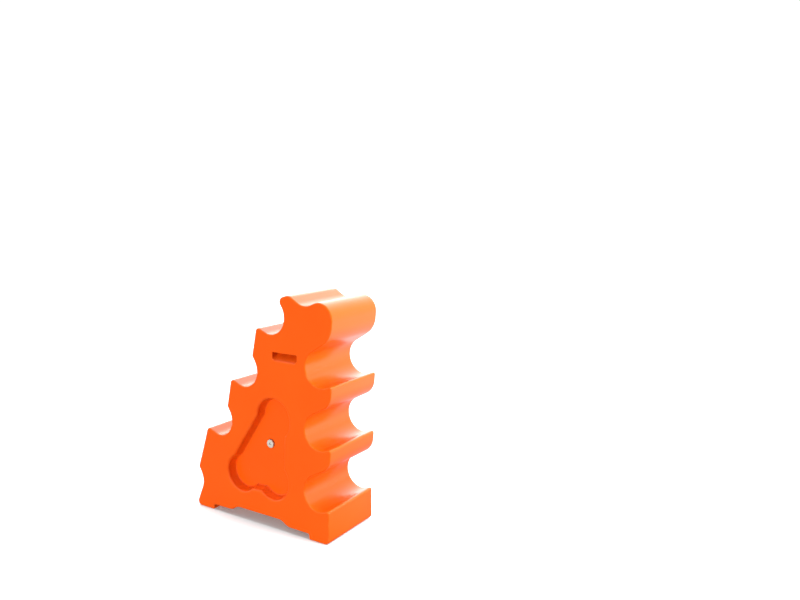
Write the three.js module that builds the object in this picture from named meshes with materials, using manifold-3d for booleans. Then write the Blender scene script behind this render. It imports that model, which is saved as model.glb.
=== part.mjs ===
// Stacking pole block: a hollow, one-piece moulded plastic block with seven half-round
// cups for round poles, a recess and a finger slot in each face, and a screw plug in the
// filler hole. Millimetres, +Z up, front face towards -Y, origin under the middle.
import * as THREE from 'three';
import { mergeVertices } from 'three/addons/utils/BufferGeometryUtils.js';
import Module from 'manifold-3d';

// ---- driving dimensions -------------------------------------------------------------
const DEPTH = 208;                   // front face to back face
const WALL = 6;                      // thickness of the moulded wall
const EDGE = 4;                      // rounding where the faces meet the sides
const GAP = 0.3;                     // clearance between separate pieces
const CUP_R = 51;                    // half-round cup for a pole of 100 mm
const TOP_CUP = [170.5, 703.5];      // centre of the shallow cup on top
const TOP_LOBE = [[198.2, 606.6, 62.4], [217.5, 620, 44.5]];   // centre and radius
const TOP_HORN = [[112, 649.6, 25.7], [98.1, 656.4, 15]];
const LEFT_CUP = [46.5, 614.6];      // centre of the highest cup of the left stair
const LEFT_STEP = [-103.3, -161.4];  // from one left cup to the next one down
const LEFT_HOLLOW = [-288.4, 82.8];  // centre of the hollow above the left foot
const RIGHT_CUP = [220.4, 486.5];    // centre of the highest cup of the right row
const RIGHT_STEP = [-5.4, -173.6];   // from one right cup to the next one down
const LEFT_LIP = [-42.7, -48.4, 10.5];   // rounded lip, from its cup's centre, and radius
const LEFT_CORNER = [41.7, 43.1, 6.8];   // blunt corner above the cup's back wall
const RIGHT_LIP = [30.6, -50.4, 6.5];
const RIGHT_NOSE = [-14.4, -64, 50];     // full nose under the lip
const BASE_LEFT = -262;              // outer sides of the two feet
const BASE_RIGHT = 243.5;
const BASE_TOP = 95;                 // top of the straight side above the right foot
const FOOT_R = 13.5;                 // outer corner of a foot
const FOOT_EDGE = 6;                 // inner corner of a foot, and the base's top corner
const FOOT_ROOT = 5;                 // hollow corner where a foot meets the sole
const FOOT_LEFT_IN = -193.5;         // inner sides of the two feet
const FOOT_RIGHT_IN = 173.5;
const FOOT_H = 16;                   // from the ground to the sole between the feet
const ARCH_H = 31;                   // from the ground to the arch
const ARCH = [-108.5, 85];           // middle of the arch's two rises
const RISE = 23;                     // half length of a rise
const RECESS_DEPTH = 30;             // floor of the recess behind the face
const RECESS_DRAFT = 6;              // how far the recess narrows from rim to floor
const RECESS_TOP = [49.4, 321.8, 60];    // three round corners: centre and radius
const RECESS_LEFT = [-75.5, 140.3, 56];
const RECESS_RIGHT = [41.3, 143.9, 60];
const RECESS_WALLS = { left: 51, low: 41.5, right: 43.3 };  // off the centre lines
const RECESS_CUSP = 8;               // radius where a wall runs into a round corner
// finger slot: its sides, its depth, and how high its back wall stands under the roof
const SLOT = { left: 54.5, right: 140.5, top: 514.6, low: 489.6, depth: 22, lip: 6 };
const PLUG_AT = [15.4, 238];         // filler hole in the floor of the front recess
const SEAT = 1.5;                    // shallow seat round the filler hole
const SEAT_R = 13.8;
const BOSS_R = 17;                   // thick ring of plastic round the threaded bush
const BOSS_L = 14.5;
const BUSH_R = 9;                    // threaded bush
const COLLAR_R = 11.5;               // collar that locks the bush in the plastic
const COLLAR_AT = [4.5, 9.5];        // from the seat
const BORE_R = 6.4;                  // hole through the bush
const SEAL = { outer: 11, inner: 6.7, thick: 1.2 };
// plug head: radius, thickness, bevel of the rim, and a shallow dish with a sloping side
const HEAD = { r: 12.2, thick: 4, edge: 0.8, dish: 1, dishR: 9.2, dishSlope: 2 };
const SHANK = { r: 6, length: 14, tip: 1 };
const HEX = { across: 8, deep: 5 };  // socket for a hexagon key

const FACE = DEPTH / 2;
const FLOOR = -FACE + RECESS_DEPTH;  // recess floor in the front
const SEAT_Y = FLOOR + SEAT;
const AIR = 2;                       // how far a cutting solid runs on past a surface

// ---- outlines made of circles joined by their common tangents -----------------------
// A circle is [x, z, r]: r > 0 turns the outline left round it, r < 0 turns it right.
// The outline runs anticlockwise as seen from the front.
const SHORTEST = 0.02;               // shorter sides than this are dropped
const SHARPEST = 0.5;                // least radius of a full circle after shrinking
const CHORD = 0.5;                   // how far a chord may lie inside its arc
const turnOf = (from, to) => {
  const turn = to - from;
  return turn - 2 * Math.PI * Math.floor((turn + Math.PI) / (2 * Math.PI));
};

function beltOutline(circles) {
  const leaving = circles.map(([x, z, r], i) => {
    const [x2, z2, r2] = circles[(i + 1) % circles.length];
    const length = Math.hypot(x2 - x, z2 - z);
    const swing = Math.max(-1, Math.min(1, (r - r2) / length));
    return Math.atan2(z2 - z, x2 - x) + Math.asin(swing);
  });
  const points = circles.flatMap(([x, z, r], i) => {
    const start = leaving[(i + circles.length - 1) % circles.length];
    let turn = turnOf(start, leaving[i]);
    if (r > 0 && turn < -1) turn += 2 * Math.PI;
    if (r < 0 && turn > 1) turn -= 2 * Math.PI;
    const size = Math.max(Math.abs(r), 2 * CHORD);
    const steps = Math.max(1, Math.ceil(Math.abs(turn) / (2 * Math.acos(1 - CHORD / size))));
    return Array.from({ length: steps + 1 }, (_, k) => {
      const angle = start + (turn * k) / steps;
      return new THREE.Vector2(x + r * Math.sin(angle), z - r * Math.cos(angle));
    });
  });
  const last = points.length - 1;
  return points.filter((p, i) => p.distanceTo(points[i > 0 ? i - 1 : last]) > SHORTEST);
}

// The same outline moved outwards, or inwards where distance is negative.
const grown = (circles, distance) => circles.map(([x, z, r]) => (
  [x, z, r > 0 ? Math.max(r + distance, SHARPEST) : r + distance]));

const plus = ([x, z], [dx, dz], times = 1) => [x + dx * times, z + dz * times];

function blockCircles() {
  const ogee = (RISE ** 2 + ((ARCH_H - FOOT_H) / 2) ** 2) / (ARCH_H - FOOT_H);
  const belt = [
    [BASE_RIGHT - FOOT_R, FOOT_R, FOOT_R],
    [BASE_RIGHT - FOOT_EDGE, BASE_TOP - FOOT_EDGE, FOOT_EDGE],
  ];
  for (let k = 2; k >= 0; k -= 1) {
    const cup = plus(RIGHT_CUP, RIGHT_STEP, k);
    belt.push([...cup, -CUP_R]);
    if (k > 0) {
      const above = plus(RIGHT_CUP, RIGHT_STEP, k - 1);
      belt.push([...plus(above, RIGHT_NOSE), RIGHT_NOSE[2]]);
      belt.push([...plus(above, RIGHT_LIP), RIGHT_LIP[2]]);
    }
  }
  belt.push(...TOP_LOBE, [...TOP_CUP, -CUP_R], ...TOP_HORN);
  for (let k = 0; k < 3; k += 1) {
    const cup = plus(LEFT_CUP, LEFT_STEP, k);
    const below = k < 2 ? plus(LEFT_CUP, LEFT_STEP, k + 1) : LEFT_HOLLOW;
    belt.push([...cup, -CUP_R]);
    belt.push([...plus(cup, LEFT_LIP), LEFT_LIP[2]]);
    belt.push([...plus(below, LEFT_CORNER), LEFT_CORNER[2]]);
  }
  belt.push([...LEFT_HOLLOW, -CUP_R]);
  belt.push([BASE_LEFT + FOOT_R, FOOT_R, FOOT_R]);
  belt.push([FOOT_LEFT_IN - FOOT_EDGE, FOOT_EDGE, FOOT_EDGE]);
  belt.push([FOOT_LEFT_IN + FOOT_ROOT, FOOT_H - FOOT_ROOT, -FOOT_ROOT]);
  belt.push([ARCH[0] - RISE, FOOT_H + ogee, ogee], [ARCH[0] + RISE, ARCH_H - ogee, -ogee]);
  belt.push([ARCH[1] - RISE, ARCH_H - ogee, -ogee], [ARCH[1] + RISE, FOOT_H + ogee, ogee]);
  belt.push([FOOT_RIGHT_IN - FOOT_ROOT, FOOT_H - FOOT_ROOT, -FOOT_ROOT]);
  belt.push([FOOT_RIGHT_IN + FOOT_EDGE, FOOT_EDGE, FOOT_EDGE]);
  return belt;
}

function recessCircles() {
  // A wall is a straight line parallel to the centre line of two round corners; a small
  // circle that touches both makes the cusp at each of its ends.
  const cusps = (from, to, off) => {
    const length = Math.hypot(to[0] - from[0], to[1] - from[1]);
    const along = [(to[0] - from[0]) / length, (to[1] - from[1]) / length];
    const out = [along[1], -along[0]];
    return [[from, 1], [to, -1]].map(([corner, way]) => {
      const height = off + RECESS_CUSP;
      const run = Math.sqrt((corner[2] + RECESS_CUSP) ** 2 - height ** 2);
      const [x, z] = plus(plus(corner, along, way * run), out, height);
      return [x, z, -RECESS_CUSP];
    });
  };
  return [
    RECESS_RIGHT, ...cusps(RECESS_RIGHT, RECESS_TOP, RECESS_WALLS.right),
    RECESS_TOP, ...cusps(RECESS_TOP, RECESS_LEFT, RECESS_WALLS.left),
    RECESS_LEFT, ...cusps(RECESS_LEFT, RECESS_RIGHT, RECESS_WALLS.low),
  ];
}

// ---- solids -------------------------------------------------------------------------
const wasm = await Module();
wasm.setup();

function solid(geometry) {
  const bare = geometry.index ? geometry.toNonIndexed() : geometry.clone();
  bare.deleteAttribute('normal');
  bare.deleteAttribute('uv');
  const merged = mergeVertices(bare, 1e-4);
  const corners = Array.from(merged.index.array);
  const whole = (a, b, c) => a !== b && b !== c && c !== a;
  const triangles = [];
  for (let i = 0; i < corners.length; i += 3) {
    const triangle = corners.slice(i, i + 3);
    if (whole(...triangle)) triangles.push(...triangle);
  }
  return new wasm.Manifold(new wasm.Mesh({
    numProp: 3,
    vertProperties: new Float32Array(merged.attributes.position.array),
    triVerts: new Uint32Array(triangles),
  }));
}

function geometryOf(manifold) {
  const mesh = manifold.getMesh();
  const geometry = new THREE.BufferGeometry();
  geometry.setAttribute('position', new THREE.BufferAttribute(mesh.vertProperties, 3));
  geometry.setIndex(new THREE.BufferAttribute(mesh.triVerts, 1));
  return geometry;
}

// Extrude an outline of the X-Z plane along Y, from y = near to y = far, near < far.
function slab(points, near, far, options = { bevelEnabled: false }) {
  const depth = far - near;
  const geometry = new THREE.ExtrudeGeometry(new THREE.Shape(points), { depth, ...options });
  return geometry.rotateX(Math.PI / 2).translate(0, far, 0);
}

// A pocket that opens in a face and narrows towards its floor. It runs on past the face.
function pocket(circles, deep, draft) {
  const taper = { bevelThickness: deep, bevelSize: draft, bevelOffset: -draft, bevelSegments: 1 };
  return slab(beltOutline(circles), -FACE - AIR, -FACE, { bevelEnabled: true, ...taper });
}

// The finger slot: a level roof, a steep back and a ramp out to the face, extruded along X.
function slotWedge(grow) {
  const { left, right, top, low, depth, lip } = SLOT;
  const side = new THREE.Shape([
    new THREE.Vector2(-AIR, low - AIR - grow), new THREE.Vector2(0, low - grow),
    new THREE.Vector2(depth + grow, top - lip - grow), new THREE.Vector2(depth + grow, top + grow),
    new THREE.Vector2(-AIR, top + grow),
  ]);
  const geometry = new THREE.ExtrudeGeometry(side, {
    depth: right - left + 2 * grow, bevelEnabled: false,
  });
  const place = new THREE.Matrix4().makeBasis(
    new THREE.Vector3(0, 1, 0), new THREE.Vector3(0, 0, 1), new THREE.Vector3(1, 0, 0));
  geometry.applyMatrix4(place);
  return geometry.translate(left - grow, -FACE, 0);
}

// Turn a profile of [radius, distance behind the seat] pairs about the filler hole's axis.
function turned(profile, segments = 32) {
  const points = profile.map(([radius, y]) => new THREE.Vector2(radius, y));
  const geometry = new THREE.LatheGeometry(points, segments);
  return geometry.translate(PLUG_AT[0], SEAT_Y, PLUG_AT[1]);
}

const behind = (manifold) => manifold.mirror([0, 1, 0]);

function bushProfile(gap) {
  return [
    [BORE_R - gap, GAP - gap], [BUSH_R + gap, GAP - gap], [BUSH_R + gap, COLLAR_AT[0] - gap],
    [COLLAR_R + gap, COLLAR_AT[0] - gap], [COLLAR_R + gap, COLLAR_AT[1] + gap],
    [BUSH_R + gap, COLLAR_AT[1] + gap], [BUSH_R + gap, BOSS_L - GAP + gap],
    [BORE_R - gap, BOSS_L - GAP + gap], [BORE_R - gap, GAP - gap],
  ];
}

function blockShell() {
  const belt = blockCircles();
  const round = { bevelThickness: EDGE, bevelSize: EDGE, bevelOffset: -EDGE, bevelSegments: 2 };
  const outside = solid(slab(beltOutline(belt), -FACE + EDGE, FACE - EDGE,
    { bevelEnabled: true, ...round }));
  const recess = solid(pocket(recessCircles(), RECESS_DEPTH, RECESS_DRAFT));
  const slot = solid(slotWedge(0));
  const recessBoss = solid(pocket(grown(recessCircles(), WALL), RECESS_DEPTH + WALL, RECESS_DRAFT));
  const slotBoss = solid(slotWedge(WALL));
  const plugBoss = solid(turned([[0, 0], [BOSS_R, 0], [BOSS_R, BOSS_L], [0, BOSS_L]]));
  const hollow = solid(slab(beltOutline(grown(belt, -WALL)), -FACE + WALL, FACE - WALL))
    .subtract(recessBoss).subtract(behind(recessBoss))
    .subtract(slotBoss).subtract(behind(slotBoss))
    .subtract(plugBoss);
  const seat = solid(turned([[0, -2 * SEAT], [SEAT_R, -2 * SEAT], [SEAT_R, 0], [0, 0]]));
  const way = BOSS_L + AIR;
  const hole = solid(turned([[0, -SEAT], [BUSH_R + GAP, -SEAT], [BUSH_R + GAP, way], [0, way]]));
  const groove = solid(turned([
    [0, COLLAR_AT[0] - GAP], [COLLAR_R + GAP, COLLAR_AT[0] - GAP],
    [COLLAR_R + GAP, COLLAR_AT[1] + GAP], [0, COLLAR_AT[1] + GAP],
  ]));
  return geometryOf(outside
    .subtract(recess).subtract(behind(recess))
    .subtract(slot).subtract(behind(slot))
    .subtract(hollow).subtract(seat).subtract(hole).subtract(groove));
}

const plugBush = () => turned(bushProfile(0));

function plugSeal() {
  const near = -GAP - SEAL.thick;
  return turned([[SEAL.inner, near], [SEAL.outer, near], [SEAL.outer, -GAP],
    [SEAL.inner, -GAP], [SEAL.inner, near]]);
}

function fillerPlug() {
  const under = -2 * GAP - SEAL.thick;
  const front = under - HEAD.thick;
  const body = solid(turned([
    [0, front + HEAD.dish], [HEAD.dishR - HEAD.dishSlope, front + HEAD.dish],
    [HEAD.dishR, front], [HEAD.r - HEAD.edge, front], [HEAD.r, front + HEAD.edge],
    [HEAD.r, under], [SHANK.r, under], [SHANK.r, under + SHANK.length - SHANK.tip],
    [SHANK.r - SHANK.tip, under + SHANK.length], [0, under + SHANK.length],
  ]));
  const corner = HEX.across / Math.sqrt(3);
  const socket = new THREE.CylinderGeometry(corner, corner, HEX.deep + AIR, 6);
  socket.translate(PLUG_AT[0], SEAT_Y + front + (HEX.deep - AIR) / 2, PLUG_AT[1]);
  return geometryOf(body.subtract(solid(socket)));
}

// ---- the object ---------------------------------------------------------------------
const orange = { color: 0xff6a26, roughness: 0.38, metalness: 0 };
const brass = { color: 0xb08d4a, roughness: 0.35, metalness: 1 };
const black = { color: 0x1c1c1e, roughness: 0.7, metalness: 0 };
const white = { color: 0xe9e8e4, roughness: 0.42, metalness: 0 };

const block = new THREE.Group();
block.name = 'pole_block';
for (const [name, geometry, look] of [
  ['block_shell', blockShell(), orange],
  ['plug_bush', plugBush(), brass],
  ['plug_seal', plugSeal(), black],
  ['filler_plug', fillerPlug(), white],
]) {
  const mesh = new THREE.Mesh(geometry, new THREE.MeshStandardMaterial(look));
  mesh.name = name;
  block.add(mesh);
}

export default block;
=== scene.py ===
# Stacking pole block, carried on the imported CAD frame. Metres, +Z up, front face to -Y.
import math

import bpy
import numpy as np
from mathutils import Matrix, Vector
from mathutils.geometry import delaunay_2d_cdt


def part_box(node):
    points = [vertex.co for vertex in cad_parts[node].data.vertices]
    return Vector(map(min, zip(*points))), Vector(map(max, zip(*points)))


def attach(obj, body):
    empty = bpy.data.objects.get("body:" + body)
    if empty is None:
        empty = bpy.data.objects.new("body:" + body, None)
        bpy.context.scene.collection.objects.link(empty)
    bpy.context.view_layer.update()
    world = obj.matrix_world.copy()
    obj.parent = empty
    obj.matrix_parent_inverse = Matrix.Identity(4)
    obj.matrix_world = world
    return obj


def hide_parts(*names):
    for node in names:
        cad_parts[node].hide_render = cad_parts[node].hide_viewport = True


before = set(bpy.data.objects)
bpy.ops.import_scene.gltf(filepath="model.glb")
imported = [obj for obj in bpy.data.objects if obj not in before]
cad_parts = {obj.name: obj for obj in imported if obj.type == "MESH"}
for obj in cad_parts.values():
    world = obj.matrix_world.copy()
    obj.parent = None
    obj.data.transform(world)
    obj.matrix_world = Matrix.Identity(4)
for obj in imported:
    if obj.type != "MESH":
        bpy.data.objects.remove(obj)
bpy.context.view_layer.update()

# ---- block shell: its outline ---------------------------------------------------------
# The real piece is one hollow moulding of tough orange polyethylene, turned in an oven
# until it coats the mould. Its outline is a run of round cups and lips joined by straight
# sides, the same at every depth, so it is kept as circles joined by common tangents.
MM = 0.001
shell_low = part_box("block_shell")[0]
FACE_Y = shell_low.y
WALL = 6 * MM
EDGE_R = 4 * MM
CUP_R = 51 * MM
BASE_LEFT, BASE_RIGHT = shell_low.x, 0.2435
FOOT_R, FOOT_EDGE_R, FOOT_ROOT_R = 13.5 * MM, 6 * MM, 5 * MM
FOOT_LEFT_IN, FOOT_RIGHT_IN, FOOT_H = -0.1935, 0.1735, 0.016
BASE_TOP = 0.095
ARCH_H, ARCH_MIDS, RISE = 0.031, (-0.1085, 0.085), 0.023
RIGHT_CUP, RIGHT_STEP = np.array([0.2204, 0.4865]), np.array([-0.0054, -0.1736])
RIGHT_NOSE, RIGHT_NOSE_R = np.array([-0.0144, -0.064]), 0.050
RIGHT_LIP, RIGHT_LIP_R = np.array([0.0306, -0.0504]), 0.0065
TOP_LOBES = [(0.1982, 0.6066, 0.0624), (0.2175, 0.620, 0.0445)]
TOP_CUP = (0.1705, 0.7035)
TOP_HORN = [(0.112, 0.6496, 0.0257), (0.0981, 0.6564, 0.015)]
LEFT_CUP, LEFT_STEP = np.array([0.0465, 0.6146]), np.array([-0.1033, -0.1614])
LEFT_HOLLOW = np.array([-0.2884, 0.0828])
LEFT_LIP, LEFT_LIP_R = np.array([-0.0427, -0.0484]), 0.0105
LEFT_CORNER, LEFT_CORNER_R = np.array([0.0417, 0.0431]), 0.0068
# Steps along the outline outside and inside the wall, and the largest turn in one step.
FINE, COARSE, ARC_STEP = 0.003, 0.009, 0.26
SMALLEST_R = 0.4 * MM


def side_circles():
    """The circles of the side outline as rows x, z, radius, in the order that a finger
    follows them anticlockwise from the front; a hollow one has a negative radius."""
    ogee = (RISE**2 + ((ARCH_H - FOOT_H) / 2) ** 2) / (ARCH_H - FOOT_H)
    rows = [
        (BASE_RIGHT - FOOT_R, FOOT_R, FOOT_R),
        (BASE_RIGHT - FOOT_EDGE_R, BASE_TOP - FOOT_EDGE_R, FOOT_EDGE_R),
    ]
    for k in (2, 1, 0):
        rows.append((*(RIGHT_CUP + k * RIGHT_STEP), -CUP_R))
        if k:
            above = RIGHT_CUP + (k - 1) * RIGHT_STEP
            rows.append((*(above + RIGHT_NOSE), RIGHT_NOSE_R))
            rows.append((*(above + RIGHT_LIP), RIGHT_LIP_R))
    rows += [*TOP_LOBES, (*TOP_CUP, -CUP_R), *TOP_HORN]
    for k in (0, 1, 2):
        cup = LEFT_CUP + k * LEFT_STEP
        below = LEFT_CUP + (k + 1) * LEFT_STEP if k < 2 else LEFT_HOLLOW
        rows.append((*cup, -CUP_R))
        rows.append((*(cup + LEFT_LIP), LEFT_LIP_R))
        rows.append((*(below + LEFT_CORNER), LEFT_CORNER_R))
    rows += [
        (*LEFT_HOLLOW, -CUP_R),
        (BASE_LEFT + FOOT_R, FOOT_R, FOOT_R),
        (FOOT_LEFT_IN - FOOT_EDGE_R, FOOT_EDGE_R, FOOT_EDGE_R),
        (FOOT_LEFT_IN + FOOT_ROOT_R, FOOT_H - FOOT_ROOT_R, -FOOT_ROOT_R),
        (ARCH_MIDS[0] - RISE, FOOT_H + ogee, ogee),
        (ARCH_MIDS[0] + RISE, ARCH_H - ogee, -ogee),
        (ARCH_MIDS[1] - RISE, ARCH_H - ogee, -ogee),
        (ARCH_MIDS[1] + RISE, FOOT_H + ogee, ogee),
        (FOOT_RIGHT_IN - FOOT_ROOT_R, FOOT_H - FOOT_ROOT_R, -FOOT_ROOT_R),
        (FOOT_RIGHT_IN + FOOT_EDGE_R, FOOT_EDGE_R, FOOT_EDGE_R),
    ]
    return np.array(rows)


def tangent_turns(circles):
    """Where the outline starts to follow each circle, as an angle of travel, and how far
    it turns there. Along a common tangent the travel swings from the centre line by the
    arcsine of the difference of the two radii over the distance of the centres."""
    centre, radius = circles[:, :2], circles[:, 2]
    gap = np.roll(centre, -1, 0) - centre
    swing = (radius - np.roll(radius, -1)) / np.hypot(*gap.T)
    leaving = np.arctan2(gap[:, 1], gap[:, 0]) + np.arcsin(np.clip(swing, -1, 1))
    start = np.roll(leaving, 1)
    turn = (leaving - start + np.pi) % (2 * np.pi) - np.pi
    turn += 2 * np.pi * ((radius > 0) & (turn < -1)) - 2 * np.pi * ((radius < 0) & (turn > 1))
    return start, turn


def outline_steps(circles, spacing):
    """How many steps each arc and each straight side gets, so that points lie about one
    spacing apart and no step of an arc turns by more than ARC_STEP."""
    start, turn = tangent_turns(circles)
    radius = np.abs(circles[:, 2])
    arcs = np.maximum(np.ceil(np.abs(turn) * radius / spacing), np.ceil(np.abs(turn) / ARC_STEP))
    ends = circles[:, :2] + circles[:, 2:] * np.c_[np.sin(start + turn), -np.cos(start + turn)]
    heads = circles[:, :2] + circles[:, 2:] * np.c_[np.sin(start), -np.cos(start)]
    length = np.hypot(*(np.roll(heads, -1, 0) - ends).T)
    return np.maximum(arcs, 1).astype(int), np.ceil(length / spacing).astype(int)


def outline(circles, steps, grow=0.0):
    """The outline moved outwards by grow, or inwards where grow is negative, with the same
    number of points for every grow. A point on an arc is the centre plus the radius times
    (sin a, -cos a), a being its angle of travel; straight sides are divided evenly. A full
    circle keeps at least SMALLEST_R."""
    moved = circles.copy()
    full = moved[:, 2] > 0
    moved[:, 2] += grow
    moved[full, 2] = np.maximum(moved[full, 2], SMALLEST_R)
    start, turn = tangent_turns(moved)
    arcs, sides = steps
    which = np.repeat(np.arange(len(moved)), arcs + 1)
    first = np.repeat(np.cumsum(arcs + 1) - (arcs + 1), arcs + 1)
    angle = start[which] + turn[which] * (np.arange(len(which)) - first) / arcs[which]
    on_arc = moved[which, :2] + moved[which, 2:] * np.c_[np.sin(angle), -np.cos(angle)]
    last = np.cumsum(arcs + 1) - 1
    head = on_arc[(last + 1) % len(on_arc)]
    tail = on_arc[last]
    inner = np.maximum(sides - 1, 0)
    owner = np.repeat(np.arange(len(moved)), inner)
    rank = np.arange(len(owner)) - np.repeat(np.cumsum(inner) - inner, inner) + 1
    part = (rank / sides[owner])[:, None]
    on_side = tail[owner] * (1 - part) + head[owner] * part
    order = np.argsort(np.r_[which, owner + 0.5], kind="stable")
    return np.r_[on_arc, on_side][order]


# ---- block shell: its skin ------------------------------------------------------------
# Every face is one moulding: the sides run straight through with a 4 mm round at both
# faces, and a deep recess and a finger slot are pressed into each face.
RECESS_D, RECESS_DRAFT = 0.030, 0.006
RECESS_RIM_R, RECESS_FLOOR_R = 0.008, 0.004
RECESS_ROUNDS = np.array([
    (0.0413, 0.1439, 0.060), (0.0494, 0.3218, 0.060), (-0.0755, 0.1403, 0.056)])
RECESS_WALLS, RECESS_CUSP_R = (0.0433, 0.051, 0.0415), 0.008
SLOT_X, SLOT_Z, SLOT_D, SLOT_LIP = (0.0545, 0.1405), (0.4896, 0.5146), 0.022, 0.006
SLOT_RIM_R, SLOT_LOW_R, SLOT_TOP_R = 0.002, 0.011, 0.0015
PLUG_X, PLUG_Z = (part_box("filler_plug")[0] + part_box("filler_plug")[1]).xz / 2
PIPS, PIP_R, PIP_DEEP = RECESS_ROUNDS[[0, 2], :2], 0.0022, 0.0009
SEAT_D, SEAT_R, SEAT_LIP = 0.0015, 0.0138, 0.0006
FLOOR_Y = FACE_Y + RECESS_D
SEAT_Y = FLOOR_Y + SEAT_D
BOSS_R, BOSS_L = 0.017, 0.0145
BUSH_R, COLLAR_R, COLLAR_AT, GAP = 0.009, 0.0115, (0.0045, 0.0095), 0.0003
# HOLD is a strip beside each round that keeps its shading off the flat, SHARP and BORE_EDGE
# are the breaks on the hole's edges, and points closer together than CLOSE are one point.
HOLD, SHARP, BORE_EDGE, CLOSE = 0.0005, 0.0003, 0.0004, 1e-7
ROUND_STEPS, COLUMNS, INNER_GRID = 7, 96, 0.02
WAVE_MEAN, WAVE_HEIGHT = 0.25 * MM, 0.20 * MM
ORANGES = [(0.86, 0.094, 0.0022, 1), (0.93, 0.112, 0.0036, 1)]
# Beside the rubbed orange, the dark orange is painted shade for the slot and the recess corner.
RUBBED_ORANGE, SHADED_ORANGE = (0.95, 0.30, 0.10, 1), (0.36, 0.022, 0.001, 1)


def recess_circles():
    """The three round corners of the recess with a small hollow circle at each end of each
    wall, which touches both the wall and the corner."""
    rows = []
    for k, off in enumerate(RECESS_WALLS):
        here, there = RECESS_ROUNDS[k], RECESS_ROUNDS[(k + 1) % 3]
        along = (there - here)[:2] / np.hypot(*(there - here)[:2])
        out = np.array([along[1], -along[0]])
        rows.append(tuple(here))
        for corner, way in ((here, 1), (there, -1)):
            high = off + RECESS_CUSP_R
            run = math.sqrt((corner[2] + RECESS_CUSP_R) ** 2 - high**2)
            rows.append((*(corner[:2] + along * way * run + out * high), -RECESS_CUSP_R))
    return np.array(rows)


def at_depth(points, y):
    """Points of the X-Z plane set at one depth y."""
    return np.c_[points[:, 0], np.full(len(points), y), points[:, 1]]


def woven(rows, columns, closed=True, start=0):
    """The quads of a grid of points kept row by row. With closed, its last column joins
    its first. They face outwards where rows go deeper and columns go anticlockwise."""
    j = np.arange(columns if closed else columns - 1)
    k = (j + 1) % columns
    i = np.arange(rows - 1)[:, None] * columns + start
    return np.stack([i + j, i + columns + j, i + columns + k, i + k], -1).reshape(-1, 4)


def carried(circles, steps, profile):
    """A profile of (grow, y, wear and painted shade) rows carried along an outline: row i is the
    outline moved outwards by grow and set at depth y."""
    rings = [at_depth(outline(circles, steps, grow), y) for grow, y, _ in profile]
    wear_and_shade = np.repeat([w for _, _, w in profile], len(rings[0]))
    return np.concatenate(rings), woven(len(rings), len(rings[0])), wear_and_shade


def spun(radius, y, wear_and_shade):
    """A grid turned about the filler hole's axis: row i and column j give the axis plus
    radius times (sin a, cos a) in X and Z, with column j at the angle a. A row whose
    radius is 0 closes the piece."""
    a = np.arange(COLUMNS) * 2 * np.pi / COLUMNS
    x = PLUG_X + radius * np.sin(a)
    z = PLUG_Z + radius * np.cos(a)
    points = np.stack([x, np.broadcast_to(y, x.shape), z], -1).reshape(-1, 3)
    return points, woven(len(x), COLUMNS)[:, ::-1], np.broadcast_to(wear_and_shade, x.shape).ravel()


def turned(profile):
    """A profile of (radius, y, wear) rows turned about the filler hole's axis."""
    radius, y, wear_and_shade = (column[:, None] for column in np.array(profile).T)
    return spun(np.repeat(radius, COLUMNS, 1), y, wear_and_shade)


def inside(points, ring):
    """Which points lie inside a closed ring: a line drawn to +X crosses it an odd number of
    times."""
    (x, z), (x1, z1) = points.T[..., None], ring.T
    x2, z2 = np.roll(x1, -1), np.roll(z1, -1)
    level = (z1 > z) != (z2 > z)
    rise = np.where(z2 == z1, 1.0, z2 - z1)
    return (level & (x < (x2 - x1) * (z - z1) / rise + x1)).sum(1) % 2 == 1


def flat(y, outer, holes=(), extra=None, spacing=0.008):
    """A level sheet at depth y between an outer ring and its holes, with a grid of loose
    points inside it, all joined by Delaunay triangles. Extra points are kept as they are,
    and loose points too near to them or to a ring are left out."""
    rings = [outer, *holes]
    low, high = outer.min(0), outer.max(0)
    across = [np.arange(a, b, spacing) for a, b in zip(low, high)]
    loose = np.stack(np.meshgrid(*across), -1).reshape(-1, 2)
    if extra is not None:
        gap = np.hypot(*(loose[:, None] - extra[None]).transpose(2, 0, 1)).min(1)
        loose = np.r_[loose[gap > 0.4 * spacing], extra]
    edge = np.concatenate(rings)
    keep = inside(loose, outer)
    for ring in holes:
        keep &= ~inside(loose, ring)
    loose = loose[keep]
    gap = np.concatenate([
        np.hypot(*(part[:, None] - edge[None]).transpose(2, 0, 1)).min(1)
        for part in np.array_split(loose, 8)])
    points = np.r_[edge, loose[gap > 0.25 * spacing]]
    ends = np.cumsum([len(ring) for ring in rings])
    here = np.arange(len(edge))
    following = here + 1
    following[ends - 1] = np.r_[0, ends[:-1]]
    sides = np.c_[here, following].tolist()
    faces, source = delaunay_2d_cdt(
        [Vector(p) for p in points.tolist()], sides, [], 0, CLOSE)[2:4]
    origin = np.array([ids[0] for ids in source])
    faces = origin[np.array(faces)]
    middle = points[faces].mean(1)
    keep = inside(middle, outer)
    for ring in holes:
        keep &= ~inside(middle, ring)
    return at_depth(points, y), faces[keep], np.zeros(len(points))


def arc(centre_grow, centre_y, radius, first, last, steps=ROUND_STEPS, wear_and_shade=0.0):
    """Rows of a rounded edge: grow is the centre plus radius times cos t and y the centre
    plus radius times sin t, with t from first to last in degrees."""
    t = np.radians(np.linspace(first, last, steps + 1))
    rows = np.c_[centre_grow + radius * np.cos(t), centre_y + radius * np.sin(t)]
    return [(g, y, wear_and_shade * math.sin(math.pi * k / steps)) for k, (g, y) in enumerate(rows)]


def flipped(part):
    """The same part facing the other way."""
    points, faces, wear_and_shade = part
    return points, faces[:, ::-1], wear_and_shade


def mirrored(part):
    """The same part in the back face: y changes its sign, and the faces turn over."""
    points, faces, wear_and_shade = part
    return points * (1, -1, 1), faces[:, ::-1], wear_and_shade


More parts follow.
